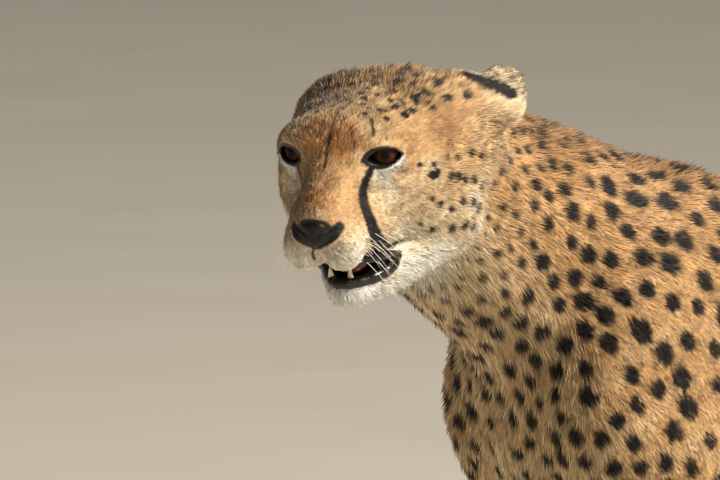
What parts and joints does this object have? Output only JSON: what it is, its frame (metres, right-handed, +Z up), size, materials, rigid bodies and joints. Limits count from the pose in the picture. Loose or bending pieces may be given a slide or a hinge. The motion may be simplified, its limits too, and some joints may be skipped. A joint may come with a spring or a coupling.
{
  "type": "standing cheetah model",
  "caption": "Life-size still model of a standing cheetah, its head turned to its left and its mouth a little open, with spotted fur and a ringed tail.",
  "frame": {"origin": "middle of the outer box, on the ground that the four paws stand on", "axes": "-Y is the way the body faces, +X is the animal's left, +Z is up"},
  "size_m": [0.2562, 1.4585, 0.8713],
  "materials": {
    "coat": "short tawny fur with black spots, pale on the muzzle, chin, throat and belly",
    "eye_amber": "wet amber eye, black pupil",
    "nose_leather": "damp black nose leather",
    "tongue_flesh": "moist pink",
    "tooth_enamel": "ivory",
    "claw_horn": "dark horn"
  },
  "bodies": {
    "root": {"head": "coat", "neck": "coat", "torso": "coat", "hindquarters": "coat", "tail_root": "coat", "tail_middle": "coat", "tail_tip": "coat", "ear_left": "coat", "ear_right": "coat", "fore_leg_left": "coat", "fore_paw_left": "coat", "fore_leg_right": "coat", "fore_paw_right": "coat", "hind_leg_left": "coat", "hind_paw_left": "coat", "hind_leg_right": "coat", "hind_paw_right": "coat", "eye_left": "eye_amber", "eye_right": "eye_amber", "nose": "nose_leather", "tongue": "tongue_flesh", "upper_canine_left": "tooth_enamel", "lower_canine_left": "tooth_enamel", "upper_canine_right": "tooth_enamel", "lower_canine_right": "tooth_enamel", "upper_incisors": "tooth_enamel", "lower_incisors": "tooth_enamel", "claw_fore_left_1": "claw_horn", "claw_fore_left_2": "claw_horn", "claw_fore_left_3": "claw_horn", "claw_fore_left_4": "claw_horn", "claw_fore_right_1": "claw_horn", "claw_fore_right_2": "claw_horn", "claw_fore_right_3": "claw_horn", "claw_fore_right_4": "claw_horn", "claw_hind_left_1": "claw_horn", "claw_hind_left_2": "claw_horn", "claw_hind_left_3": "claw_horn", "claw_hind_left_4": "claw_horn", "claw_hind_right_1": "claw_horn", "claw_hind_right_2": "claw_horn", "claw_hind_right_3": "claw_horn", "claw_hind_right_4": "claw_horn"}
  },
  "joints": []
}
